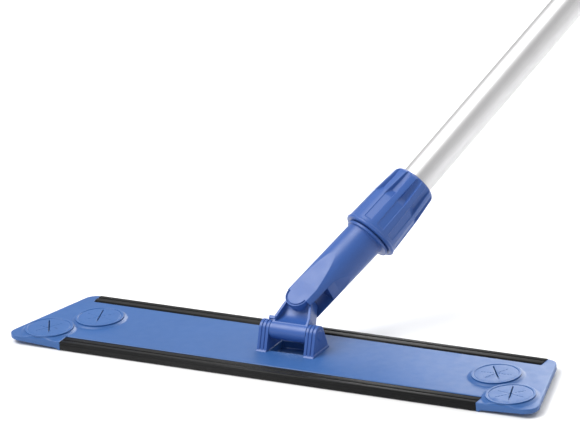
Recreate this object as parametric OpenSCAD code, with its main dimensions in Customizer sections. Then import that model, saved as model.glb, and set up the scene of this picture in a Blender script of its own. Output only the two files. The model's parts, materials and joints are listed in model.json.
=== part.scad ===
// Flat mop: a trapezoidal cloth holder plate under a two-axis swivel joint, with
// an aluminium handle clamped in a socket by a screw collar.
// Millimetres, +Z up. The origin is on the plate's underside, straight below the
// middle of the lower hinge. +X runs along the plate, +Y to its back edge.

/* [Rest pose] */
// Lean of the swivel yoke towards the back of the plate, from upright
lean = 53.3; // [0:0.1:70]
// Swing of the socket to the right about the yoke's upper pin
swing = 24.8; // [0:0.1:70]
// How much steeper the handle stands than the socket's fork
handle_tilt = 3.3; // [0:0.1:4]

/* [Plate] */
// Thickness of the plate at its rim
plate_t = 7; // [7:0.5:9]
// Distance from the hinge to the front edge
plate_front = 47; // [45:0.5:52]
// Distance from the hinge to the back edge
plate_back = 45; // [42:0.1:50]
// Half of the plate's length, measured under the hinge
plate_half = 210.2; // [208:0.1:225]
// How far each end draws in, per millimetre towards the back
end_slope = 0.28; // [0.2:0.01:0.3]
// Radius of the two front corners
front_corner_r = 9; // [7:1:18]
// Radius of the two back corners
back_corner_r = 10; // [4:1:12]
// Thickness of the plate's top skin
skin_t = 3; // [2.5:0.5:3.5]
// Thickness of the rim and of the ribs below the skin
rib_t = 2.4; // [2:0.2:3]
// Spacing of the cross ribs
rib_pitch = 36; // [30:1:50]
// Length of the window below the hinge
window_w = 30; // [20:1:30]
// Depth of the window below the hinge
window_d = 17.5; // [12:0.5:20]

/* [Edge strips] */
// How far the front strip lies below the plate's top
strip_drop = 0.1; // [0:0.1:1]
// How far the back strip stands above the plate's top
back_strip_rise = 0.6; // [0:0.1:1]
// Half of the front strip's length
front_strip_half = 174.3; // [165:0.1:175]
// Width of the front strip
front_strip_w = 11.5; // [10:0.5:12]
// Half of the back strip's length
back_strip_half = 189.4; // [180:0.1:190]
// Width of the back strip
back_strip_w = 12; // [10:0.1:13]

/* [Cloth grippers] */
// Outer radius of a gripper's disc
gripper_r = 18.7; // [18:0.1:18.7]
// How far a gripper stands above the plate
gripper_rise = 2.5; // [2:0.1:3]
// Height of the soft mound round a gripper
mound_h = 1.4; // [0.8:0.1:1.5]
// Distance of the front grippers from the middle
front_gripper_x = 193.8; // [193:0.1:195]
// Distance of the front grippers in front of the hinge
front_gripper_y = 28.3; // [28:0.1:29]
// Distance of the back grippers from the middle
back_gripper_x = 167.4; // [166:0.1:168]
// Distance of the back grippers behind the hinge
back_gripper_y = 3; // [2:0.1:4]
// Number of fine slits in a gripper's star
slit_count = 6; // [4:2:8]

/* [Swivel joint] */
// Height of the lower hinge above the plate's top
hinge_h = 13.7; // [13:0.1:15]
// Distance between the two hinge axes
yoke_len = 25; // [24:0.5:28]
// Gap between the plate's two ears
ear_gap = 31; // [30:0.5:32]
// Thickness of one ear
ear_t = 8.3; // [8:0.1:9]
// Half of an ear's depth where it meets the plate
ear_foot = 12.7; // [12:0.1:14]
// Radius of the yoke's lower barrel and of the ears' round tops
barrel_r = 7.2; // [7:0.1:7.5]
// Radius of the yoke's upper barrel
tongue_r = 8.5; // [8:0.1:9]
// Radius of both hinge pins
pin_r = 3; // [2.5:0.1:3.2]

/* [Handle socket] */
// Outer radius of the socket's tube
socket_r = 15.35; // [15:0.05:16]
// Width of the slot between the fork's cheeks
fork_gap = 16; // [15.6:0.2:17]
// Radius of the fork's round ends
fork_end_r = 9.7; // [9.2:0.1:10]
// Distance from the upper pin to the flange
flange_z = 69.2; // [64:0.1:70]
// Radius of the flange
flange_r = 18.5; // [17:0.1:19]

/* [Locking collar] */
// Length of the collar
collar_len = 56; // [55:1:60]
// Outer radius of the collar's bottom bead
bead_r = 22.1; // [21.8:0.1:23]
// Number of finger flutes
flute_count = 11; // [8:1:12]

/* [Handle] */
// Outer radius of the aluminium tube
tube_r = 12.5; // [12.5:0.1:12.6]
// Wall of the aluminium tube
tube_wall = 1.2; // [1:0.1:1.5]
// Length of the aluminium tube
tube_len = 1400; // [1200:10:1500]
// Length of the hand grip
grip_len = 140; // [120:5:180]
// Outer radius of the hand grip
grip_r = 15.5; // [15:0.1:17]
// Radius of the hanging hole
eye_r = 5; // [4:0.5:6]

/* [Hidden] */
$fn = 64;

blue = "royalblue";
rubber = "#222222";
steel = "silver";
over = 1;          // how far a cutter runs past the face that it opens
side_gap = 0.3;    // side clearance of each swivel joint
turn_gap = 0.05;   // radial clearance of a pin in the part that turns on it

// Plate
hub_w = 52;            // solid block under the ears
hub_d = 30;
tongue_z = 2.2;        // tongue that the edge strips are pushed on to
tongue_t = 2.5;
tongue_out = 2.8;      // rubber left outside the tongue
long_rib_y = 18;
hinge_z = plate_t + hinge_h;
skin_z = plate_t - skin_t;
strip_groove = 1;
strip_groove_at = 0.42; // share of the width, from the outer edge
window_floor = 1.2;
end_low = [177, 1.2];  // the underside slopes up from here towards each end
end_high = [225, 3.8];

// Grippers: a disc on the plate, and a skirt with a barb that snaps under the skin
gripper_hole_r = 14.8;
gripper_skirt_r = 14.5;
gripper_bore_r = 12.5;
gripper_barb_r = 15.4;
gripper_barb_h = 1.4;
gripper_barb_gap = 0.1;  // below the skin
gripper_foot_z = 1.5;
gripper_boss_r = 16.4;
petal_t = 1.7;
petal_drop = 0.3;      // petals below the disc's rim
rim_w = 2;
rim_groove_w = 0.8;
rim_groove_deep = 0.5;
mound_gap = 0.4;       // mound's top beyond the disc
mound_run = 2.6;
sink = 0.5;            // how far a raised shape reaches into what it stands on
slit_w = 0.4;
slit_len = 12;
long_slit = [22, 0.9]; // one straight slit that stands open
long_slit_back = 8.2;
slit_turns = [119, 108, 107, 125];  // front left, front right, back left, back right

// Ears
ear_out = ear_gap / 2 + ear_t;
groove_w = 0.8;
groove_deep = 0.7;
cap_r = 3.9;
cap_t = 3.2;
cap_dome = 0.4;
pin_half = ear_out - cap_t;

// Yoke
barrel_len = ear_gap - 2 * side_gap;
tongue_w = fork_gap - 2 * side_gap;
web_t = 13.6;
web_low = [14.6, 9];   // corners of the web's curved side
web_mid = [11.9, 19];
web_top = [9.2, 28];
side_wall = 2.2;
scoop_r = 12;
scoop_y = 14;
scoop_z = 13;
lug = [5.4, 2, 2.5];   // stop lug on the yoke's left side
lug_out = 18.4;        // its end, from the middle of the yoke
lug_y = -7.8;
lug_z = 4.8;

// Socket, along the handle from the upper pin
cheek_y = 11.9;        // outer flat of each cheek
crease_z = 11.5;       // where the flat starts to run out to the round tube
runout_z = 42;
side_flat_x = 13.1;    // flat beside the slot
side_flat_z = 25.7;
side_runout_z = 37.5;
slot_end_z = 18.2;
flange_t = 2;
spigot_r = 15.7;
spigot_top = 112;
tube_gap = 0.08;
tube_z = 72;           // lower end of the tube
bend_z = 104;          // where the handle's axis crosses the fork's
core_z = 36;           // lower end of the hollow below the tube
plug_lip = 2;
plug_gap = 0.3;        // its lip inside the tube's outside
plug_len = 17.5;       // inside the tube
boss_r = 8.4;
boss_groove = 1;
blind_pin_y = 10.3;
far_pin_y = 9.9;

// Collar and clamp ring
collar_z = 72;
collar_gap = 0.4;
seat_gap = 0.3;
seat_sink = 0.01;      // how far the cone reaches into the bore below it
ring_z = 112.3;
ring_h = 12;
ring_low_r = 15.2;
ring_top_r = 14.1;
ring_slit = 2;
mouth_r = 13.4;
body_low_r = 21.5;
body_mid_r = 20;
body_top_r = 18;
body_mid_z = 32;
shoulder_r = 5;
bead_edge_r = 1.6;
collar_bevel = 1;      // at the bottom face
collar_low_z = 3;      // where the side starts
flute_w = 10.5;        // just outside the collar's surface
flute_floor_w = 3.6;
flute_floor_r = 16.2;
flute_start = 27;
flute_ramp = 8;
panel_deep = 0.7;      // shallow flat below each flute
panel_z = 5.5;
panel_top = 30.5;      // inside the flute's ramp
panel_w = 6.4;

// Handle's upper end
tube_top = tube_z + tube_len;
grip_lip = 3;
grip_step = 1;         // lips and cap flange inside the grip's outside
grip_ring_pitch = 12;
grip_ring_deep = 0.8;
grip_ring_w = 2;
grip_ring_from = 1.5;  // first ring, in pitches
cap_flange_t = 4;
cap_plug_len = 25;
eye_plate_t = 8;
eye_plate_w = 22;
eye_z = 16;

// ---------------------------------------------------------------- frames

// Yoke frame: lower axis along X, +Z towards the upper pin
module in_yoke() {
    translate([0, 0, hinge_z]) rotate([-lean, 0, 0]) children();
}

// Fork frame: upper axis along Y, +Z up the socket
module in_arm() {
    in_yoke() translate([0, 0, yoke_len]) rotate([0, swing, 0]) children();
}

// Handle frame: the same origin and directions as the fork's, but tilted about bend_z
module in_handle() {
    in_arm() tilted() children();
}

module tilted() {
    translate([0, 0, bend_z]) rotate([0, -handle_tilt, 0]) translate([0, 0, -bend_z]) children();
}

// Extrudes a side view, drawn with +Y to the right and +Z up, along X
module along_x(length) {
    rotate([90, 0, 90]) linear_extrude(length, center = true) children();
}

// Extrudes a front view, drawn with +X to the right and +Z up, along Y
module along_y(length) {
    rotate([90, 0, 0]) linear_extrude(length, center = true) children();
}

module rod_x(r, length) {
    rotate([0, 90, 0]) cylinder(r = r, h = length, center = true);
}

module rod_y(r, length) {
    rotate([90, 0, 0]) cylinder(r = r, h = length, center = true);
}

// ---------------------------------------------------------------- outlines

function unit(v) = v / norm(v);

// Points of the arc that rounds corner p, between its neighbours a and b
function corner_arc(p, a, b, r, steps) =
    let (
        u = unit(a - p),
        v = unit(b - p),
        half = acos(u * v) / 2,
        centre = p + unit(u + v) * r / sin(half),
        start = p + u * r / tan(half) - centre,
        from = atan2(start.y, start.x)
    )
    [for (i = [0:steps]) centre + r * [cos(from + (180 - 2 * half) * i / steps),
                                       sin(from + (180 - 2 * half) * i / steps)]];

function plate_half_at(y, inset) =
    plate_half - end_slope * y - inset * sqrt(1 + end_slope * end_slope);

// The plate's outline, counter-clockwise, drawn in by inset
function plate_points(inset) =
    let (
        f = inset - plate_front,
        b = plate_back - inset,
        c = [[-plate_half_at(f, inset), f], [plate_half_at(f, inset), f],
             [plate_half_at(b, inset), b], [-plate_half_at(b, inset), b]],
        r = [front_corner_r, front_corner_r, back_corner_r, back_corner_r]
    )
    [for (i = [0:3]) each corner_arc(c[i], c[(i + 3) % 4], c[(i + 1) % 4], r[i] - inset, 8)];

// Point where the line from b touches the circle of radius r round c
function touch_point(c, r, b, side) =
    let (v = b - c, turn = atan2(v.y, v.x) + side * acos(r / norm(v)))
    c + r * [cos(turn), sin(turn)];

// ---------------------------------------------------------------- plate

// Room of an edge strip: the full height of the plate's edge
module strip_room(half, width, edge, dir) {
    translate([-half, dir > 0 ? edge - width : -edge - over, -over])
        cube([2 * half, width + over, plate_t + mound_h + 2 * over]);
}

module strip_tongue(half, width, edge, dir) {
    translate([-half, dir > 0 ? edge - width : tongue_out - edge, tongue_z])
        cube([2 * half, width - tongue_out, tongue_t]);
}

// Wall behind an edge strip, and the short walls at its ends
module strip_walls(half, width, edge, dir) {
    wall_y = dir > 0 ? edge - width - rib_t : width - edge;
    end_y = dir > 0 ? edge - width : -edge;
    translate([-half - rib_t, wall_y, 0]) cube([2 * (half + rib_t), rib_t, skin_z]);
    for (side = [-1, 1])
        translate([side * (half + rib_t / 2) - rib_t / 2, end_y, 0])
            cube([rib_t, width, skin_z]);
}

// Puts a child at each gripper's place
module at_grippers() {
    for (side = [-1, 1]) {
        translate([side * front_gripper_x, -front_gripper_y, 0]) children();
        translate([side * back_gripper_x, back_gripper_y, 0]) children();
    }
}

module ribs() {
    count = floor(plate_half / rib_pitch);
    depth = plate_front + plate_back;
    for (i = [-count:count])
        translate([i * rib_pitch - rib_t / 2, -plate_front, 0]) cube([rib_t, depth, skin_z]);
    for (side = [-1, 1])
        translate([-plate_half, side * long_rib_y - rib_t / 2, 0])
            cube([2 * plate_half, rib_t, skin_z]);
}

// Everything below the skin: rim, ribs and the walls round what is let into the plate
module underside() {
    difference() {
        linear_extrude(skin_z) polygon(plate_points(0));
        translate([0, 0, -over]) linear_extrude(skin_z + over) polygon(plate_points(rib_t));
    }
    intersection() {
        linear_extrude(skin_z) polygon(plate_points(rib_t / 2));
        union() {
            ribs();
            at_grippers() cylinder(r = gripper_boss_r + rib_t, h = skin_z);
        }
    }
    strip_walls(front_strip_half, front_strip_w, plate_front, -1);
    strip_walls(back_strip_half, back_strip_w, plate_back, 1);
    translate([-hub_w / 2, -hub_d / 2, 0]) cube([hub_w, hub_d, skin_z]);
}

// Soft mounds that carry the grippers
module mounds() {
    intersection() {
        linear_extrude(plate_t + mound_h) polygon(plate_points(sink));
        at_grippers() translate([0, 0, plate_t - sink])
            cylinder(r1 = gripper_r + mound_gap + mound_run + sink, r2 = gripper_r + mound_gap,
                     h = mound_h + sink);
    }
}

// What is taken off the underside so that both ends get thinner outwards
module end_cuts() {
    depth = 2 * (plate_front + plate_back);
    for (side = [0, 1])
        mirror([side, 0, 0]) along_y(depth) polygon([
            [end_low.x, -over], [end_high.x, -over], end_high, end_low]);
}

// One layer of an ear, drawn in by inset, from x to x + width
module ear_layer(x, width, inset) {
    r = barrel_r - inset;
    top = [0, hinge_h];
    foot = [ear_foot - inset, 0];
    right = touch_point(top, r, foot, 1);
    translate([x + width / 2, 0, plate_t]) {
        along_x(width) polygon([[-foot.x, -sink], [foot.x, -sink], foot, right, top,
                                [-right.x, right.y], [-foot.x, 0]]);
        translate([0, 0, hinge_h]) rod_x(r, width);
    }
}

// An ear with two shallow grooves round its edge
module ear() {
    inner = ear_gap / 2;
    rib_w = (ear_t - 2 * groove_w) / 3;
    for (i = [0:2]) ear_layer(inner + i * (rib_w + groove_w), rib_w, 0);
    for (i = [0:1]) ear_layer(inner + rib_w + i * (rib_w + groove_w), groove_w, groove_deep);
}

module base_plate() {
    color(blue) difference() {
        union() {
            difference() {
                union() {
                    translate([0, 0, skin_z]) linear_extrude(skin_t) polygon(plate_points(0));
                    underside();
                    mounds();
                }
                end_cuts();
                strip_room(front_strip_half, front_strip_w, plate_front, -1);
                strip_room(back_strip_half, back_strip_w, plate_back, 1);
                at_grippers() translate([0, 0, -over])
                    cylinder(r = gripper_boss_r, h = skin_z + over);
                at_grippers() cylinder(r = gripper_hole_r, h = plate_t + mound_h + over);
                translate([-window_w / 2, -window_d / 2, window_floor])
                    cube([window_w, window_d, plate_t]);
            }
            strip_tongue(front_strip_half, front_strip_w, plate_front, -1);
            strip_tongue(back_strip_half, back_strip_w, plate_back, 1);
            ear();
            mirror([1, 0, 0]) ear();
        }
        translate([0, 0, hinge_z]) {
            rod_x(pin_r, 2 * ear_out + over);
            for (side = [-1, 1])
                translate([side * (pin_half + cap_t), 0, 0]) rod_x(cap_r, 2 * cap_t);
        }
    }
}

// A rubber strip with a slot for the plate's tongue and a groove along its top
module edge_strip(half, width, edge, dir, strip_h) {
    outer = dir > 0 ? edge : -edge;
    inner = outer - dir * width;
    groove_y = outer - dir * strip_groove_at * width;
    color(rubber) difference() {
        translate([-half, min(outer, inner), 0]) cube([2 * half, width, strip_h]);
        strip_tongue(half, width, edge, dir);
        translate([-half - over, groove_y - strip_groove / 2, strip_h - strip_groove])
            cube([2 * (half + over), strip_groove, strip_groove + over]);
        translate([-half - over, groove_y - strip_groove / 2, -over])
            cube([2 * (half + over), strip_groove, strip_groove / 2 + over]);
    }
}

module front_edge_strip() {
    edge_strip(front_strip_half, front_strip_w, plate_front, -1, plate_t - strip_drop);
}

module back_edge_strip() {
    edge_strip(back_strip_half, back_strip_w, plate_back, 1, plate_t + back_strip_rise);
}

// ---------------------------------------------------------------- grippers

// A soft disc with a star of slits, and a skirt that snaps into the plate
module cloth_gripper(turn) {
    top = plate_t + gripper_rise;
    petal_top = top - petal_drop;
    petal_low = petal_top - petal_t;
    color(blue) difference() {
        union() {
            translate([0, 0, plate_t + mound_h]) cylinder(r = gripper_r, h = gripper_rise - mound_h);
            translate([0, 0, gripper_foot_z]) cylinder(r = gripper_skirt_r, h = top - gripper_foot_z);
            translate([0, 0, skin_z - gripper_barb_h - gripper_barb_gap])
                cylinder(r = gripper_barb_r, h = gripper_barb_h);
        }
        translate([0, 0, -over]) cylinder(r = gripper_bore_r, h = petal_low + over);
        translate([0, 0, petal_top]) cylinder(r = gripper_r - rim_w, h = over);
        translate([0, 0, top - rim_groove_deep]) difference() {
            cylinder(r = gripper_r - rim_w, h = over);
            translate([0, 0, -over])
                cylinder(r = gripper_r - rim_w - rim_groove_w, h = 3 * over);
        }
        for (i = [0:slit_count - 1])
            rotate([0, 0, turn + i * 360 / slit_count])
                translate([0, -slit_w / 2, petal_low - sink])
                    cube([slit_len, slit_w, petal_t + 2 * sink]);
        rotate([0, 0, turn]) translate([-long_slit_back, -long_slit.y / 2, petal_low - sink])
            cube([long_slit.x, long_slit.y, petal_t + 2 * sink]);
    }
}

module front_gripper(side, turn) {
    translate([side * front_gripper_x, -front_gripper_y, 0]) cloth_gripper(turn);
}

module back_gripper(side, turn) {
    translate([side * back_gripper_x, back_gripper_y, 0]) cloth_gripper(turn);
}

module cloth_gripper_front_left() { front_gripper(-1, slit_turns[0]); }
module cloth_gripper_front_right() { front_gripper(1, slit_turns[1]); }
module cloth_gripper_back_left() { back_gripper(-1, slit_turns[2]); }
module cloth_gripper_back_right() { back_gripper(1, slit_turns[3]); }

// ---------------------------------------------------------------- swivel joint

module lower_pivot_pin() {
    color(steel) translate([0, 0, hinge_z]) rod_x(pin_r, 2 * pin_half);
}

// Cap over an end of the lower pin
module pin_cap(side) {
    color(blue) translate([side * (pin_half + (cap_t + cap_dome) / 2), 0, hinge_z])
        rod_x(cap_r, cap_t + cap_dome);
}

module lower_pin_cap_left() { pin_cap(-1); }
module lower_pin_cap_right() { pin_cap(1); }

// Front view of the yoke's web, its sides drawn in by inset
module web_view(inset) {
    right = [[barrel_len / 2 - inset, 0], web_low - [inset, 0], web_mid - [inset, 0],
             web_top - [inset, 0]];
    left = [for (i = [3:-1:0]) [-right[i].x, right[i].y]];
    polygon(concat(right, left));
}

module swivel_yoke() {
    color(blue) in_yoke() difference() {
        union() {
            difference() {
                along_y(web_t) web_view(0);
                intersection() {
                    along_y(4 * scoop_r) web_view(side_wall);
                    for (dir = [-1, 1])
                        translate([0, dir * scoop_y, scoop_z]) rod_x(scoop_r, 2 * barrel_len);
                }
            }
            rod_x(barrel_r, barrel_len);
            translate([0, 0, yoke_len]) rod_y(tongue_r, tongue_w);
            translate([-lug_out, lug_y, lug_z]) cube(lug);
        }
        rod_x(pin_r + turn_gap, barrel_len + over);
        translate([0, 0, yoke_len]) rod_y(pin_r + turn_gap, tongue_w + over);
    }
}

module upper_pivot_pin() {
    color(steel) in_arm() translate([0, (far_pin_y - blind_pin_y) / 2, 0])
        rod_y(pin_r, blind_pin_y + far_pin_y);
}

// Plug behind the upper pin, in the far cheek
module upper_pin_plug() {
    color(blue) in_arm() translate([0, (far_pin_y + cheek_y + cap_dome) / 2, 0])
        rod_y(cap_r, cheek_y + cap_dome - far_pin_y);
}

// ---------------------------------------------------------------- socket

// Side view of the socket: cheeks that are flat outside and run out to the tube
module socket_side_view() {
    rise = (socket_r - cheek_y) / (runout_z - crease_z);
    top = cheek_y + rise * (flange_z + over - crease_z);
    low = -fork_end_r - over;
    polygon([[-cheek_y, low], [cheek_y, low], [cheek_y, crease_z], [top, flange_z + over],
             [-top, flange_z + over], [-cheek_y, crease_z]]);
}

// Front view of the socket above its round ends: flats beside the slot
module socket_front_view() {
    rise = (socket_r - side_flat_x) / (side_runout_z - side_flat_z);
    top = side_flat_x + rise * (flange_z + over - side_flat_z);
    polygon([[-side_flat_x, 0], [side_flat_x, 0], [side_flat_x, side_flat_z],
             [top, flange_z + over], [-top, flange_z + over], [-side_flat_x, side_flat_z]]);
}

// Half-round groove below the pivot, in the near cheek's flat
module boss_groove_cut() {
    translate([0, -cheek_y - over + boss_groove / 2, 0]) intersection() {
        difference() {
            rod_y(boss_r + boss_groove / 2, 2 * over + boss_groove);
            rod_y(boss_r - boss_groove / 2, 3 * over + boss_groove);
        }
        translate([-boss_r - over, -2 * over, -boss_r - over])
            cube([2 * (boss_r + over), 4 * over, boss_r + over]);
    }
}

module handle_socket() {
    color(blue) in_arm() difference() {
        union() {
            intersection() {
                translate([0, 0, -fork_end_r - over])
                    cylinder(r = socket_r, h = flange_z + fork_end_r + 2 * over);
                along_x(2 * socket_r + over) socket_side_view();
                union() {
                    rod_y(fork_end_r, 2 * socket_r + over);
                    along_y(2 * socket_r + over) socket_front_view();
                }
            }
            tilted() {
                translate([0, 0, flange_z]) cylinder(r = flange_r, h = flange_t);
                translate([0, 0, flange_z + sink])
                    cylinder(r = spigot_r, h = spigot_top - flange_z - sink);
            }
        }
        translate([-socket_r - over, -fork_gap / 2, -fork_end_r - over])
            cube([2 * (socket_r + over), fork_gap, slot_end_z + fork_end_r + over]);
        translate([0, 0, core_z]) cylinder(r = tube_r + tube_gap, h = tube_z - core_z - sink);
        tilted() translate([0, 0, tube_z - plug_lip - side_gap])
            cylinder(r = tube_r + tube_gap, h = spigot_top);
        translate([0, (far_pin_y - blind_pin_y) / 2, 0]) rod_y(pin_r, blind_pin_y + far_pin_y);
        translate([0, far_pin_y + cheek_y / 2, 0]) rod_y(cap_r, cheek_y);
        boss_groove_cut();
    }
}

// Split cone that the collar wedges between the socket's mouth and the tube
module clamp_ring() {
    color(blue) in_handle() difference() {
        translate([0, 0, ring_z]) cylinder(r1 = ring_low_r, r2 = ring_top_r, h = ring_h);
        translate([0, 0, ring_z - over]) cylinder(r = tube_r + tube_gap, h = ring_h + 2 * over);
        translate([0, -ring_slit / 2, ring_z - over])
            cube([2 * ring_low_r, ring_slit, ring_h + 2 * over]);
    }
}

// ---------------------------------------------------------------- collar

// Half section of the collar's outside, from its bottom face at z = 0
module collar_section() {
    centre = [body_top_r - shoulder_r, collar_len - shoulder_r];
    polygon([[0, collar_bevel], [body_low_r - collar_bevel, collar_bevel],
             [body_low_r, collar_low_z], [body_mid_r, body_mid_z],
             [body_top_r, collar_len - shoulder_r],
             for (a = [10:10:90]) centre + shoulder_r * [cos(a), sin(a)],
             [0, collar_len]]);
    translate([bead_r - bead_edge_r, bead_edge_r]) circle(r = bead_edge_r);
    square([bead_r - bead_edge_r, 2 * bead_edge_r]);
}

// One finger flute: a channel with sloping sides, a straight ramp at its lower end,
// and a shallow flat from there down to the bead
module flute_cut() {
    deep = bead_r + over;
    end = collar_len + over;
    intersection() {
        along_y(2 * flute_w) polygon([
            [body_mid_r + sink, flute_start], [flute_floor_r + sink, flute_start + flute_ramp],
            [flute_floor_r - sink, end], [deep, end], [deep, flute_start]]);
        linear_extrude(end) polygon([
            [flute_floor_r, -flute_floor_w / 2], [deep, -flute_w / 2],
            [deep, flute_w / 2], [flute_floor_r, flute_floor_w / 2]]);
    }
    along_y(panel_w) polygon([
        [body_low_r - panel_deep, panel_z], [deep, panel_z],
        [deep, panel_top], [body_mid_r - panel_deep, panel_top]]);
}

module locking_collar() {
    seat_z = ring_z - collar_z;
    color(blue) in_handle() translate([0, 0, collar_z]) difference() {
        rotate_extrude() collar_section();
        for (i = [0:flute_count - 1])
            rotate([0, 0, (i + 0.5) * 360 / flute_count]) flute_cut();
        translate([0, 0, -over]) cylinder(r = spigot_r + collar_gap, h = seat_z + over);
        translate([0, 0, seat_z - seat_sink])
            cylinder(r1 = ring_low_r + seat_gap, r2 = ring_top_r + seat_gap, h = ring_h + seat_gap);
        translate([0, 0, seat_z]) cylinder(r = mouth_r, h = collar_len);
    }
}

// ---------------------------------------------------------------- handle

module handle_tube() {
    color(steel) in_handle() translate([0, 0, tube_z]) difference() {
        cylinder(r = tube_r, h = tube_len);
        translate([0, 0, -over]) cylinder(r = tube_r - tube_wall, h = tube_len + 2 * over);
    }
}

module tube_end_plug() {
    color(blue) in_handle() {
        translate([0, 0, tube_z - plug_lip]) cylinder(r = tube_r - plug_gap, h = plug_lip);
        translate([0, 0, tube_z - sink]) cylinder(r = tube_r - tube_wall, h = plug_len + sink);
    }
}

// Sleeve with shallow grip rings
module hand_grip() {
    rings = floor(grip_len / grip_ring_pitch - 2 * grip_ring_from);
    color(blue) in_handle() translate([0, 0, tube_top - grip_len]) difference() {
        union() {
            cylinder(r = grip_r - grip_step, h = grip_len);
            translate([0, 0, grip_lip]) cylinder(r = grip_r, h = grip_len - 2 * grip_lip);
        }
        for (i = [0:rings])
            translate([0, 0, (i + grip_ring_from) * grip_ring_pitch]) difference() {
                cylinder(r = grip_r + over, h = grip_ring_w);
                translate([0, 0, -over])
                    cylinder(r = grip_r - grip_ring_deep, h = grip_ring_w + 2 * over);
            }
        translate([0, 0, -over]) cylinder(r = tube_r, h = grip_len + 2 * over);
    }
}

// End cap: a plug in the tube, a flange and a round plate with the hanging hole
module hanging_cap() {
    color(blue) in_handle() translate([0, 0, tube_top]) difference() {
        union() {
            translate([0, 0, -cap_plug_len]) cylinder(r = tube_r - tube_wall, h = cap_plug_len + sink);
            cylinder(r = grip_r - grip_step, h = cap_flange_t);
            translate([-eye_plate_w / 2, -eye_plate_t / 2, 0]) cube([eye_plate_w, eye_plate_t, eye_z]);
            translate([0, 0, eye_z]) rod_y(eye_plate_w / 2, eye_plate_t);
        }
        translate([0, 0, eye_z]) rod_y(eye_r, eye_plate_t + over);
    }
}

// ---------------------------------------------------------------- nodes

base_plate();
front_edge_strip();
back_edge_strip();
cloth_gripper_front_left();
cloth_gripper_front_right();
cloth_gripper_back_left();
cloth_gripper_back_right();
lower_pivot_pin();
lower_pin_cap_left();
lower_pin_cap_right();
swivel_yoke();
upper_pivot_pin();
upper_pin_plug();
handle_socket();
clamp_ring();
locking_collar();
handle_tube();
tube_end_plug();
hand_grip();
hanging_cap();
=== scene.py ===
"""Looks of the flat mop: plastic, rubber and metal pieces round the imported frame, on a pale floor."""
import json
import math

import bmesh
import bpy
from mathutils import Matrix, Vector


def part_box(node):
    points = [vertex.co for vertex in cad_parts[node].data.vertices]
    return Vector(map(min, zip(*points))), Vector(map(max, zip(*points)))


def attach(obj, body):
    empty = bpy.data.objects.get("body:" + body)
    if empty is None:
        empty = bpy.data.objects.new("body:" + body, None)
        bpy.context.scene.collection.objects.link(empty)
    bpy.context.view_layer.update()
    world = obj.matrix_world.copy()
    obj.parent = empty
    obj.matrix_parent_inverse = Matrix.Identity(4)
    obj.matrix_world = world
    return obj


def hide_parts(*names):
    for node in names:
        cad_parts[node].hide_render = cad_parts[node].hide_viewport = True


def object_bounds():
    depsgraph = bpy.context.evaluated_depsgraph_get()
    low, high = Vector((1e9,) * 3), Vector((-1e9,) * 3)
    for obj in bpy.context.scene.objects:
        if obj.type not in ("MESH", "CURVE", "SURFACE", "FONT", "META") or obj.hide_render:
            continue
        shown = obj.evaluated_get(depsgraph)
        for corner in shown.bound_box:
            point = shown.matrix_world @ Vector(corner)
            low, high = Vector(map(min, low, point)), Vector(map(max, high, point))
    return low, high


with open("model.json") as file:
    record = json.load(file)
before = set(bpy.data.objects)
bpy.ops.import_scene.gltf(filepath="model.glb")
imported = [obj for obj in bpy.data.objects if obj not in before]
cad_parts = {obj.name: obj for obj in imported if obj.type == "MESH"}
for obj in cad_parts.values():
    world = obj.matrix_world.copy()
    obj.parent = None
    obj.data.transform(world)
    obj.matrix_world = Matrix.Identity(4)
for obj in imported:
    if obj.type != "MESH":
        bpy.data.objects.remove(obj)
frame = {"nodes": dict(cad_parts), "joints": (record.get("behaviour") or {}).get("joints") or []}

CAD_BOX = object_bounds()
MM = 0.001
NODES = frame["nodes"]
JOINTS = {joint["name"]: joint for joint in frame["joints"]}


# ---------------------------------------------------------------- frames of the moving parts

def frame_matrix(origin, x_axis, y_axis, z_axis):
    """Matrix that takes points of a part's own frame to the row frame."""
    rotation = Matrix((x_axis, y_axis, z_axis)).transposed()
    return Matrix.Translation(origin) @ rotation.to_4x4()


X = Vector((1, 0, 0))
PLATE_FRAME = Matrix.Identity(4)
LOWER_PIVOT = Vector(JOINTS["plate_tilt"]["pos_m"])
UPPER_PIVOT = Vector(JOINTS["handle_swing"]["pos_m"])
SWING_AXIS = Vector(JOINTS["handle_swing"]["axis"]).normalized()
HANDLE_AXIS = -Vector(JOINTS["tube_pull"]["axis"]).normalized()
HANDLE_TILT = math.radians(3.3)  # how much steeper the handle stands than the fork
BEND = 0.104                     # where their axes cross, from the upper pivot
FORK_AXIS = Matrix.Rotation(HANDLE_TILT, 3, SWING_AXIS) @ HANDLE_AXIS
YOKE_FRAME = frame_matrix(LOWER_PIVOT, X, SWING_AXIS, X.cross(SWING_AXIS))
ARM_FRAME = frame_matrix(UPPER_PIVOT, SWING_AXIS.cross(FORK_AXIS), SWING_AXIS, FORK_AXIS)
HANDLE_FRAME = frame_matrix(UPPER_PIVOT + (FORK_AXIS - HANDLE_AXIS) * BEND,
                            SWING_AXIS.cross(HANDLE_AXIS), SWING_AXIS, HANDLE_AXIS)
LOWER_PIN_FRAME = frame_matrix(LOWER_PIVOT, Vector((0, 1, 0)), Vector((0, 0, 1)), X)
UPPER_PIN_FRAME = frame_matrix(UPPER_PIVOT, FORK_AXIS, SWING_AXIS.cross(FORK_AXIS), SWING_AXIS)


# ---------------------------------------------------------------- materials

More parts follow.
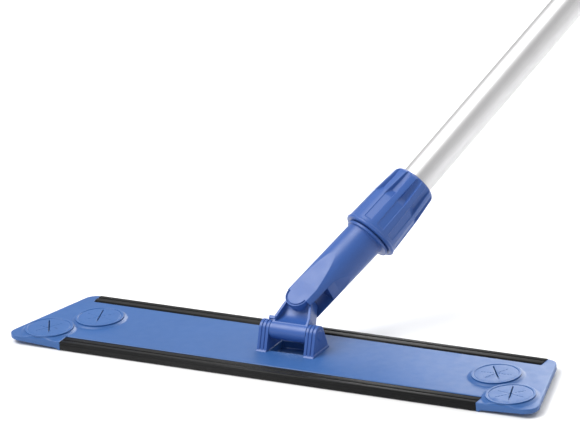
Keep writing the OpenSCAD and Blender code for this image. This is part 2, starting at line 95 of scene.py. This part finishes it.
class Shader:
    """A node material round one Principled shader, with short names for the nodes that it uses."""

    def __init__(self, name, part_frame=None):
        self.material = bpy.data.materials.new(name)
        self.material.use_nodes = True
        self.tree = self.material.node_tree
        self.principled = self.tree.nodes["Principled BSDF"]
        coords = self.new("ShaderNodeTexCoord").outputs["Object"]
        if part_frame is None:
            self.coords = coords
        else:
            turned = self.new("ShaderNodeMapping")
            turned.inputs["Rotation"].default_value = part_frame.to_3x3().inverted().to_euler()
            self.link(coords, turned.inputs["Vector"])
            self.coords = turned.outputs["Vector"]

    def new(self, kind):
        return self.tree.nodes.new(kind)

    def link(self, source, target):
        self.tree.links.new(source, target)

    def set(self, **values):
        for key, value in values.items():
            self.principled.inputs[key.replace("_", " ")].default_value = value

    def noise(self, per_metre, detail=2.0, roughness=0.5, stretch=(1, 1, 1)):
        """Noise with about per_metre features in a metre, squeezed along each axis by stretch."""
        scaled = self.new("ShaderNodeMapping")
        scaled.inputs["Scale"].default_value = [per_metre * s for s in stretch]
        self.link(self.coords, scaled.inputs["Vector"])
        node = self.new("ShaderNodeTexNoise")
        node.inputs["Scale"].default_value = 1.0
        node.inputs["Detail"].default_value = detail
        node.inputs["Roughness"].default_value = roughness
        self.link(scaled.outputs["Vector"], node.inputs["Vector"])
        return node.outputs["Fac"]

    def remap(self, value, from_low, from_high, to_low, to_high):
        node = self.new("ShaderNodeMapRange")
        self.link(value, node.inputs["Value"])
        for key, number in (("From Min", from_low), ("From Max", from_high),
                            ("To Min", to_low), ("To Max", to_high)):
            node.inputs[key].default_value = number
        return node.outputs["Result"]

    def math(self, operation, first, second):
        node = self.new("ShaderNodeMath")
        node.operation = operation
        for socket, value in zip(node.inputs, (first, second)):
            if isinstance(value, (int, float)):
                socket.default_value = value
            else:
                self.link(value, socket)
        return node.outputs["Value"]

    def mix(self, factor, first, second):
        node = self.new("ShaderNodeMix")
        node.data_type = "RGBA"
        self.link(factor, node.inputs["Factor"])
        for key, value in (("A", first), ("B", second)):
            socket = next(s for s in node.inputs if s.name == key and s.type == "RGBA")
            if isinstance(value, tuple):
                socket.default_value = (*value, 1)
            else:
                self.link(value, socket)
        return next(s for s in node.outputs if s.type == "RGBA")

    def bump(self, height, distance, strength, below=None):
        node = self.new("ShaderNodeBump")
        node.inputs["Distance"].default_value = distance
        node.inputs["Strength"].default_value = strength
        self.link(height, node.inputs["Height"])
        if below is not None:
            self.link(below, node.inputs["Normal"])
        return node.outputs["Normal"]

    def finish(self, colour=None, roughness=None, normal=None):
        for key, value in (("Base Color", colour), ("Roughness", roughness), ("Normal", normal)):
            if value is not None:
                self.link(value, self.principled.inputs[key])
        return self.material


def shade(colour, factor):
    return tuple(min(1.0, c * factor) for c in colour)


def moulded_plastic(name, colour, roughness, part_frame=None):
    """Satin moulded plastic: spark-eroded grain, slow flow marks, and faint rubbed scuffs."""
    s = Shader(name, part_frame)
    s.set(IOR=1.5)
    flow = s.remap(s.noise(14, 3), 0.3, 0.7, 0, 1)
    tone = s.mix(flow, shade(colour, 0.94), shade(colour, 1.06))
    fleck = s.remap(s.noise(900, 2), 0.35, 0.75, 0, 1)
    tone = s.mix(s.math("MULTIPLY", fleck, 0.35), tone, shade(colour, 1.12))
    scuff = s.remap(s.noise(60, 6, 0.75, (1, 5, 1)), 0.6, 0.72, 0, 1)
    tone = s.mix(s.math("MULTIPLY", scuff, 0.12), tone, shade(colour, 1.6))
    gloss = s.math("ADD", s.remap(s.noise(120, 3), 0.3, 0.7, roughness - 0.04, roughness + 0.05),
                   s.math("MULTIPLY", scuff, 0.08))
    grain = s.bump(s.noise(2600, 2), 0.00005, 0.35)
    soft = s.bump(s.noise(90, 1), 0.0003, 0.10, grain)
    return s.finish(tone, gloss, soft)


def extruded_rubber(name, colour):
    """Black rubber with fine draw lines along its length, and lighter patches at random that are partly dust
    and partly painted sheen.
    """
    s = Shader(name)
    s.set(Specular_IOR_Level=0.22)
    lines = s.noise(1500, 2, 0.5, (0.02, 1, 1))
    # lighter patches at random: partly dust, partly painted sheen on the rubber
    dust_and_sheen = s.remap(s.noise(220, 5, 0.7), 0.52, 0.75, 0, 1)
    tone = s.mix(s.math("MULTIPLY", dust_and_sheen, 0.5), colour, shade(colour, 2.4))
    rough = s.remap(lines, 0.3, 0.7, 0.42, 0.58)
    normal = s.bump(lines, 0.00012, 0.5, s.bump(s.noise(900, 2), 0.00005, 0.4))
    return s.finish(tone, rough, normal)


DRAWN = (1, 1, 0.012)  # stretch of fine lines along Z


def satin_metal(name, colour, roughness, part_frame):
    """Drawn metal with fine lines along the part's Z axis."""
    s = Shader(name, part_frame)
    s.set(Metallic=1.0)
    lines = s.noise(2600, 3, 0.6, DRAWN)
    cloud = s.noise(25, 3)
    tone = s.mix(s.remap(cloud, 0.3, 0.7, 0, 1), shade(colour, 0.96), shade(colour, 1.03))
    tone = s.mix(s.math("MULTIPLY", s.remap(lines, 0.35, 0.7, 0, 1), 0.25), tone, shade(colour, 0.82))
    rough = s.remap(lines, 0.3, 0.7, roughness - 0.05, roughness + 0.06)
    return s.finish(tone, rough, s.bump(lines, 0.00002, 0.5))


def pale_floor(name):
    s = Shader(name)
    s.set(IOR=1.4)
    tone = s.mix(s.remap(s.noise(3, 3), 0.3, 0.7, 0, 1), (0.86, 0.865, 0.87), (0.88, 0.88, 0.88))
    return s.finish(tone, s.remap(s.noise(40, 3), 0.3, 0.7, 0.6, 0.7))


PLATE_PLASTIC = moulded_plastic("plate_plastic", (0.026, 0.100, 0.300), 0.40)
GRIPPER_PLASTIC = moulded_plastic("gripper_plastic", (0.030, 0.106, 0.310), 0.42)
JOINT_BLUE = (0.034, 0.100, 0.345)
YOKE_PLASTIC = moulded_plastic("yoke_plastic", JOINT_BLUE, 0.38, YOKE_FRAME)
FORK_PLASTIC = moulded_plastic("fork_plastic", JOINT_BLUE, 0.38, ARM_FRAME)
HANDLE_PLASTIC = moulded_plastic("handle_plastic", JOINT_BLUE, 0.38, HANDLE_FRAME)
EAR_PLASTIC = moulded_plastic("ear_plastic", JOINT_BLUE, 0.38)
RUBBER = extruded_rubber("strip_rubber", (0.006, 0.006, 0.0065))
ALUMINIUM = satin_metal("tube_aluminium", (0.70, 0.695, 0.70), 0.47, HANDLE_FRAME)
STEEL = satin_metal("pin_steel", (0.55, 0.56, 0.58), 0.25, LOWER_PIN_FRAME)


# ---------------------------------------------------------------- making pieces

def new_object(name, mesh):
    piece = bpy.data.objects.new(name, mesh)
    bpy.context.scene.collection.objects.link(piece)
    return piece


def settle(piece, body, node, slot, material):
    """Gives a finished piece its material, and puts it in its CAD node's place."""
    piece.data.materials.clear()
    piece.data.materials.append(material)
    for polygon in piece.data.polygons:
        polygon.use_smooth = True
    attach(piece, body)
    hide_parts(node)
    return piece


def node_mesh(node, part_frame):
    """The CAD node's closed mesh in its own frame, in millimetres, as a bmesh."""
    solid = bmesh.new()
    solid.from_mesh(NODES[node].data)
    bmesh.ops.remove_doubles(solid, verts=solid.verts, dist=2e-6)
    solid.transform(Matrix.Scale(1 / MM, 4) @ part_frame.inverted())
    return solid


def applied(mesh, modifiers):
    """The mesh after a list of (kind, {setting: value}) modifiers."""
    holder = new_object("holder", mesh)
    for kind, settings in modifiers:
        modifier = holder.modifiers.new(kind.lower(), kind)
        for key, value in settings.items():
            setattr(modifier, key, value)
    evaluated = holder.evaluated_get(bpy.context.evaluated_depsgraph_get())
    result = bpy.data.meshes.new_from_object(evaluated)
    bpy.data.objects.remove(holder)
    return result


def remade(name, solid, part_frame, voxel, rounds, faces, cuts=()):
    """A moulding with rounded edges and fillets, made from the closed solids of a bmesh in mm.

    voxel is the remesh size in mm, rounds the smoothing passes, and faces the target count.
    cuts holds the (low, high) corners of each box that is taken off first."""
    mesh = bpy.data.meshes.new(name)
    solid.to_mesh(mesh)
    solid.free()
    for corners in cuts:
        cutter = new_object("cutter", block_mesh(*corners))
        mesh = applied(mesh, [("BOOLEAN", {"operation": "DIFFERENCE", "object": cutter,
                                           "solver": "EXACT"})])
        bpy.data.objects.remove(cutter)
    size = voxel * 1
    fine = applied(mesh, [("REMESH", {"mode": "VOXEL", "voxel_size": size}),
                          ("SMOOTH", {"factor": 0.5, "iterations": rounds})])
    ratio = min(1.0, faces / max(1, 2 * len(fine.polygons)))
    final = applied(fine, [("DECIMATE", {"ratio": ratio})])
    final.transform(part_frame @ Matrix.Scale(MM, 4))
    return new_object(name, final)


def moulded(node, body, slot, material, part_frame, voxel, rounds, faces, cuts=()):
    """Remakes a CAD node as one moulding."""
    solid = node_mesh(node, part_frame)
    piece = remade(node + "_moulded", solid, part_frame, voxel, rounds, faces, cuts)
    return settle(piece, body, node, slot, material)


def block_mesh(low, high):
    block = bmesh.new()
    middle = [(a + b) / 2 for a, b in zip(low, high)]
    size = [b - a for a, b in zip(low, high)]
    bmesh.ops.create_cube(block, size=1, matrix=Matrix.Translation(middle) @ Matrix.Diagonal((*size, 1)))
    mesh = bpy.data.meshes.new("block")
    block.to_mesh(mesh)
    block.free()
    return mesh


def prism(solid, outline, start, end):
    """Adds a closed prism along X from an outline of (y, z) points."""
    rings = [[solid.verts.new((x, y, z)) for y, z in outline] for x in (start, end)]
    solid.faces.new(list(reversed(rings[0])))
    solid.faces.new(rings[1])
    for i in range(len(outline)):
        j = (i + 1) % len(outline)
        solid.faces.new((rings[0][i], rings[0][j], rings[1][j], rings[1][i]))
    bmesh.ops.recalc_face_normals(solid, faces=solid.faces)


def lathe(name, profile, part_frame, sides=96):
    """A piece turned round its frame's Z axis from (radius, height) points, in mm."""
    turned = bmesh.new()
    rings = []
    for radius, height in profile:
        if radius < 1e-6:
            rings.append([turned.verts.new((0, 0, height))])
            continue
        ring = []
        for i in range(sides):
            angle = 2 * math.pi * i / sides
            ring.append(turned.verts.new((radius * math.cos(angle), radius * math.sin(angle), height)))
        rings.append(ring)
    for lower, upper in zip(rings, rings[1:]):
        for i in range(sides):
            j = (i + 1) % sides
            if len(lower) == 1:
                turned.faces.new((lower[0], upper[j], upper[i]))
            elif len(upper) == 1:
                turned.faces.new((lower[i], lower[j], upper[0]))
            else:
                turned.faces.new((lower[i], lower[j], upper[j], upper[i]))
    bmesh.ops.recalc_face_normals(turned, faces=turned.faces)
    mesh = bpy.data.meshes.new(name)
    turned.to_mesh(mesh)
    turned.free()
    mesh.transform(part_frame @ Matrix.Scale(MM, 4))
    return new_object(name, mesh)


def rounded(points, radius, steps=4):
    """An open (radius, height) outline with each inner corner rounded."""
    result = [points[0]]
    for before, corner, after in zip(points, points[1:], points[2:]):
        p = Vector(corner)
        a, b = Vector(before) - p, Vector(after) - p
        cut = min(radius, a.length / 2, b.length / 2)
        start, end = p + a.normalized() * cut, p + b.normalized() * cut
        for i in range(steps + 1):
            t = i / steps
            result.append(tuple(start.lerp(p, t).lerp(p.lerp(end, t), t)))
    result.append(points[-1])
    return result


# ---------------------------------------------------------------- camera, light and floor

def add_camera():
    """Camera at the front right, a little above, standing 4 m off with a long lens."""
    azimuth, elevation, roll = (math.radians(a) for a in (28.96, 20.98, -3.74))
    target = Vector((0.00511, 0, 0.11258))
    distance = 4.0
    back = Vector((math.sin(azimuth) * math.cos(elevation),
                   -math.cos(azimuth) * math.cos(elevation), math.sin(elevation)))
    level = Vector((math.cos(azimuth), math.sin(azimuth), 0))
    upright = back.cross(level)
    right = level * math.cos(roll) + upright * math.sin(roll)
    up = upright * math.cos(roll) - level * math.sin(roll)
    data = bpy.data.cameras.new("camera")
    data.lens = 335.96
    data.sensor_width = 36
    camera = bpy.data.objects.new("camera", data)
    camera.matrix_world = frame_matrix(target + back * distance, right, up, back)
    bpy.context.scene.collection.objects.link(camera)
    bpy.context.scene.camera = camera


def add_light(name, place, size, power):
    data = bpy.data.lights.new(name, "AREA")
    data.shape = "DISK"
    data.size = size
    data.energy = power
    light = bpy.data.objects.new(name, data)
    aim = Vector(place) - Vector((0, 0, 0.05))
    light.matrix_world = Matrix.Translation(place) @ aim.to_track_quat("Z", "Y").to_matrix().to_4x4()
    bpy.context.scene.collection.objects.link(light)


def add_studio():
    add_light("key", (-1.5, -1.1, 2.8), 2.6, 120)
    add_light("back", (1.2, 2.4, 2.2), 2.4, 26)
    add_light("side", (2.8, 0.1, 1.1), 1.6, 6)
    add_light("sheen", (-0.10, 1.32, 0.58), 0.9, 10)
    world = bpy.data.worlds.new("studio")
    world.use_nodes = True
    background = world.node_tree.nodes["Background"]
    background.inputs["Color"].default_value = (1, 1, 1, 1)
    background.inputs["Strength"].default_value = 0.52
    bpy.context.scene.world = world
    bpy.context.scene.view_settings.view_transform = "Standard"
    mesh = bpy.data.meshes.new("floor")
    half, level = 8, CAD_BOX[0][2] - 0.0003
    mesh.from_pydata([(-half, -half, level), (half, -half, level), (half, half, level),
                      (-half, half, level)], [], [(0, 1, 2, 3)])
    mesh.materials.append(pale_floor("pale_floor"))
    new_object("floor", mesh)


# ---------------------------------------------------------------- plate

HINGE_H = 13.7        # the ears, in mm, above the plate's top
PLATE_TOP = 7.0
EAR_IN, EAR_T = 15.5, 8.3
EAR_FOOT, EAR_R = 12.7, 7.2
EAR_CUT = ((-27, -16, PLATE_TOP + 0.15), (27, 16, 40))
WINDOW_CUT = ((-14.9, 8, 1.3), (14.9, 12, 8))  # lets the barrel's shade fall behind it
GROOVE_W, GROOVE_DEEP = 0.8, 0.7


def ear_outline(inset):
    """Side view of an ear: a round top and straight sides that run down into the plate."""
    r, foot = EAR_R - inset, EAR_FOOT - inset
    far = math.hypot(foot, HINGE_H)
    turn = math.atan2(-HINGE_H, foot) + math.acos(r / far)
    steps = 40
    arc = [(r * math.cos(a), PLATE_TOP + HINGE_H + r * math.sin(a))
           for a in (turn + (math.pi - 2 * turn) * i / steps for i in range(steps + 1))]
    return [(foot, PLATE_TOP - 1), (foot, PLATE_TOP), *arc, (-foot, PLATE_TOP), (-foot, PLATE_TOP - 1)]


def foot_outline():
    """The flare where an ear stands on the plate."""
    low, high = PLATE_TOP - 1, PLATE_TOP + 1.5
    wide, narrow = EAR_FOOT + 0.8, EAR_FOOT - 1.0
    return [(wide, low), (wide, PLATE_TOP), (narrow, high), (-narrow, high), (-wide, PLATE_TOP), (-wide, low)]


def ears():
    """Both ears, each with two shallow grooves round its edge."""
    solid = bmesh.new()
    rib = (EAR_T - 2 * GROOVE_W) / 3
    for side in (-1, 1):
        for i in range(3):
            x = EAR_IN + i * (rib + GROOVE_W)
            prism(solid, ear_outline(0), side * x, side * (x + rib))
        prism(solid, ear_outline(GROOVE_DEEP), side * (EAR_IN + 0.2), side * (EAR_IN + EAR_T - 0.2))
        prism(solid, foot_outline(), side * (EAR_IN + 0.3), side * (EAR_IN + EAR_T + 0.4))
    piece = remade("ears_moulded", solid, PLATE_FRAME, 0.2, 2, 60000)
    settle(piece, "plate", "base_plate", "plate_blue", EAR_PLASTIC)


def strip(node, edge_side):
    """A rubber strip: rounded outer edge, two grooves with a ridge between them."""
    low, high = (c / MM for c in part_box(node))
    width, top = high.y - low.y, high.z
    centre = 0.42 * width       # middle of the outer groove
    floor, base = top - 0.9, 0.4
    profile = rounded([
        (width, base), (0.5, base), (0, 0.9), (0, 4.2), (0.25, 4.6), (0.25, 5.4), (0, 5.7),
        (0.2, top - 0.5), (0.9, top), (centre - 0.8, top), (centre - 0.35, floor),
        (centre + 0.35, floor), (centre + 0.8, top), (width - 1.7, top), (width - 1.1, floor),
        (width - 0.3, floor), (width, top - 0.3), (width, base)], 0.3, 3)
    outer = low.y if edge_side < 0 else high.y
    outline = [(outer - edge_side * u, z) for u, z in profile[:-1]]
    solid = bmesh.new()
    prism(solid, outline, low.x, high.x)
    mesh = bpy.data.meshes.new(node)
    solid.to_mesh(mesh)
    solid.free()
    mesh.transform(Matrix.Scale(MM, 4))
    settle(new_object(node + "_profile", mesh), "plate", node, "rubber_black", RUBBER)
    for polygon in mesh.polygons:
        polygon.use_smooth = abs(polygon.normal.x) < 0.5


# ---------------------------------------------------------------- turned pieces

def turn(node, body, slot, material, part_frame, profile, radius):
    piece = lathe(node + "_turned", rounded(profile, radius), part_frame)
    return settle(piece, body, node, slot, material)


CAP_R, CAP_FACE_R, CAP_T = 3.9, 3.2, 3.6  # a cap's radius, the flat of its face and its thickness
PIN_R = 3


def pins():
    """Both hinge pins and the caps and the plug over their ends."""
    half = 20.6
    turn("lower_pivot_pin", "plate", "pin_steel", STEEL, LOWER_PIN_FRAME,
         [(0, -half), (PIN_R, -half), (PIN_R, half), (0, half)], 0.4)
    for side, name in ((-1, "lower_pin_cap_left"), (1, "lower_pin_cap_right")):
        near, far = side * half, side * (half + CAP_T)
        turn(name, "plate", "joint_blue", YOKE_PLASTIC, LOWER_PIN_FRAME,
             [(0, near), (CAP_R, near), (CAP_R, far - side * 0.3), (CAP_FACE_R, far), (0, far)], 0.25)
    near_end, far_end, cap_top = -10.3, 9.9, 12.3
    turn("upper_pivot_pin", "socket", "pin_steel", STEEL, UPPER_PIN_FRAME,
         [(0, near_end), (PIN_R, near_end), (PIN_R, far_end), (0, far_end)], 0.4)
    turn("upper_pin_plug", "socket", "joint_blue", FORK_PLASTIC, UPPER_PIN_FRAME,
         [(0, far_end), (CAP_R, far_end), (CAP_R, cap_top - 0.3), (CAP_FACE_R, cap_top), (0, cap_top)],
         0.25)


def handle():
    """The tube with its end plug, and the grip with its rings."""
    low, top, wall = 72, 1472, 1.2
    tube, bore = 12.5, 12.5 - wall
    turn("handle_tube", "handle", "tube_aluminium", ALUMINIUM, HANDLE_FRAME,
         [(12, low), (tube, low), (tube, top), (bore, top), (bore, low), (12, low)], 0.3)
    inside = low + 17.5
    turn("tube_end_plug", "handle", "grip_blue", HANDLE_PLASTIC, HANDLE_FRAME,
         [(0, low - 2), (12.2, low - 2), (12.2, low - 0.1), (11.3, low), (11.3, inside),
          (10.3, inside), (0, inside)], 0.5)
    start, sleeve, lip, grip, groove = top - 140, 12.6, 14.5, 15.5, 14.7
    outline = [(sleeve, start), (lip, start), (lip, start + 3), (grip, start + 3)]
    for i in range(9):
        ring = start + (i + 1.5) * 12
        outline += [(grip, ring), (groove, ring + 0.3), (groove, ring + 1.7), (grip, ring + 2)]
    outline += [(grip, top - 3), (lip, top - 3), (lip, top), (sleeve, top), (sleeve, start)]
    turn("hand_grip", "handle", "grip_blue", HANDLE_PLASTIC, HANDLE_FRAME, outline, 0.5)


add_camera()
add_studio()
moulded("base_plate", "plate", "plate_blue", PLATE_PLASTIC, PLATE_FRAME, 0.45, 2, 180000,
        (EAR_CUT, WINDOW_CUT))
ears()
for gripper in (n for n in NODES if n.startswith("cloth_gripper")):
    moulded(gripper, "plate", "gripper_blue", GRIPPER_PLASTIC, PLATE_FRAME, 0.2, 1, 72000)
strip("front_edge_strip", -1)
strip("back_edge_strip", 1)
pins()
moulded("swivel_yoke", "yoke", "joint_blue", YOKE_PLASTIC, YOKE_FRAME, 0.22, 2, 50000)
moulded("handle_socket", "socket", "joint_blue", FORK_PLASTIC, ARM_FRAME, 0.25, 1, 80000)
moulded("clamp_ring", "clamp", "joint_blue", HANDLE_PLASTIC, HANDLE_FRAME, 0.2, 1, 16000)
moulded("locking_collar", "collar", "joint_blue", HANDLE_PLASTIC, HANDLE_FRAME, 0.24, 1, 90000)
handle()
moulded("hanging_cap", "handle", "grip_blue", HANDLE_PLASTIC, HANDLE_FRAME, 0.3, 3, 30000)
